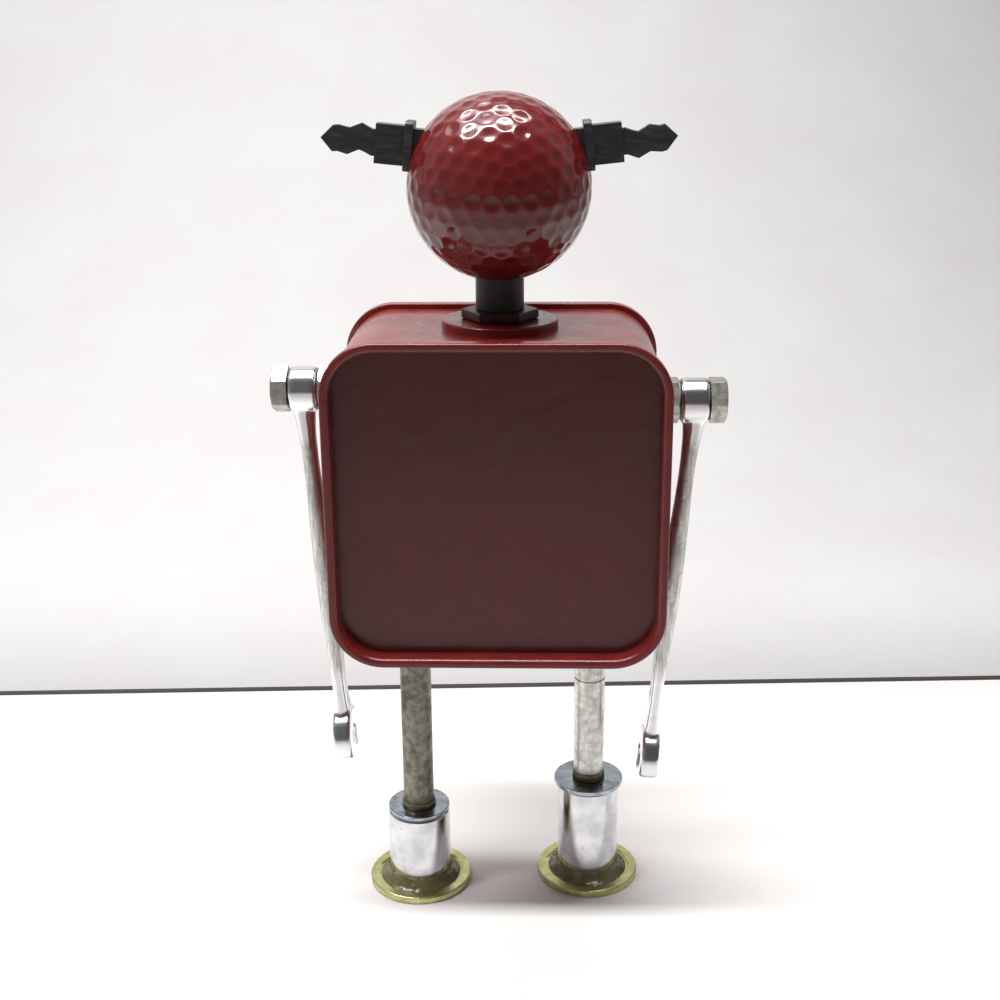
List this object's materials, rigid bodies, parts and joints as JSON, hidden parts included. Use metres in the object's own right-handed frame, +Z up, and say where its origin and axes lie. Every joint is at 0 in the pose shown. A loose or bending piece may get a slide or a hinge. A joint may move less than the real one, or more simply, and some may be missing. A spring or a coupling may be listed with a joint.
{
  "type": "tin robot figure",
  "caption": "Desk figure of a robot: painted square tin body, dimpled ball head, key ears, swinging wrench arms and sleeved rod legs on round brass feet.",
  "frame": {"origin": "on the floor, under the middle of the tin", "axes": "+Z up; -Y is the side of the recessed rear panel, +Y the lid's side; the figure's left arm is at -X"},
  "size_m": [0.109, 0.052, 0.2033],
  "materials": {
    "tin_red_paint": "glossy brushed enamel, deep red",
    "ball_red_paint": "glossy red paint over a dimpled ball",
    "black_plastic": "moulded, satin black",
    "zinc_steel": "dull zinc plate with olive tarnish",
    "washer_zinc": "bright zinc plate",
    "wrench_chrome": "polished chrome plate",
    "sleeve_chrome": "polished chrome plate with small pits",
    "dark_steel_rod": "weathered, mottled grey-brown",
    "bright_steel_rod": "bright zinc, lightly mottled",
    "disc_brass": "worn pale brass plate",
    "epoxy": "clear dark epoxy"
  },
  "bodies": {
    "torso": {"tin_wall": "tin_red_paint", "rear_panel": "tin_red_paint", "front_ring": "tin_red_paint", "neck_plate_washer": "tin_red_paint", "neck_inner_washer": "zinc_steel", "left_shoulder_bolt": "zinc_steel", "left_shoulder_outer_nut": "zinc_steel", "left_shoulder_inner_washer": "zinc_steel", "left_shoulder_inner_nut": "zinc_steel", "left_leg_rod": "dark_steel_rod", "left_leg_outer_nut": "zinc_steel", "left_leg_inner_washer": "zinc_steel", "left_leg_inner_nut": "zinc_steel", "left_rod_glue": "epoxy", "left_foot_washer": "washer_zinc", "left_foot_sleeve": "sleeve_chrome", "left_foot_glue": "epoxy", "left_foot_disc": "disc_brass", "right_shoulder_bolt": "zinc_steel", "right_shoulder_outer_nut": "zinc_steel", "right_shoulder_inner_washer": "zinc_steel", "right_shoulder_inner_nut": "zinc_steel", "right_leg_rod": "bright_steel_rod", "right_leg_outer_nut": "zinc_steel", "right_leg_inner_washer": "zinc_steel", "right_leg_inner_nut": "zinc_steel", "right_rod_glue": "epoxy", "right_foot_washer": "washer_zinc", "right_foot_sleeve": "sleeve_chrome", "right_foot_glue": "epoxy", "right_foot_disc": "disc_brass"},
    "head": {"head_ball": "ball_red_paint", "left_ear_key": "black_plastic", "right_ear_key": "black_plastic", "neck_post": "black_plastic", "neck_collar": "black_plastic", "neck_stud": "zinc_steel", "neck_lock_nut": "zinc_steel"},
    "left_arm": {"left_arm_wrench": "wrench_chrome"},
    "right_arm": {"right_arm_wrench": "wrench_chrome"},
    "lid": {"front_lid": "tin_red_paint"}
  },
  "joints": [
    {"name": "head_turn", "type": "hinge", "parent": "torso", "child": "head", "pos_m": [0.0004, 0, 0.1518], "axis": [0, 0, 1], "continuous": true},
    {"name": "left_arm_swing", "type": "hinge", "parent": "torso", "child": "left_arm", "pos_m": [-0.0469, 0, 0.1345], "axis": [1, 0, 0], "range_deg": [-150, 150]},
    {"name": "right_arm_swing", "type": "hinge", "parent": "torso", "child": "right_arm", "pos_m": [0.0469, 0, 0.1317], "axis": [1, 0, 0], "range_deg": [-150, 150]},
    {"name": "lid_pull", "type": "slide", "parent": "torso", "child": "lid", "axis": [0, 1, 0], "range_m": [0, 0.012]}
  ]
}
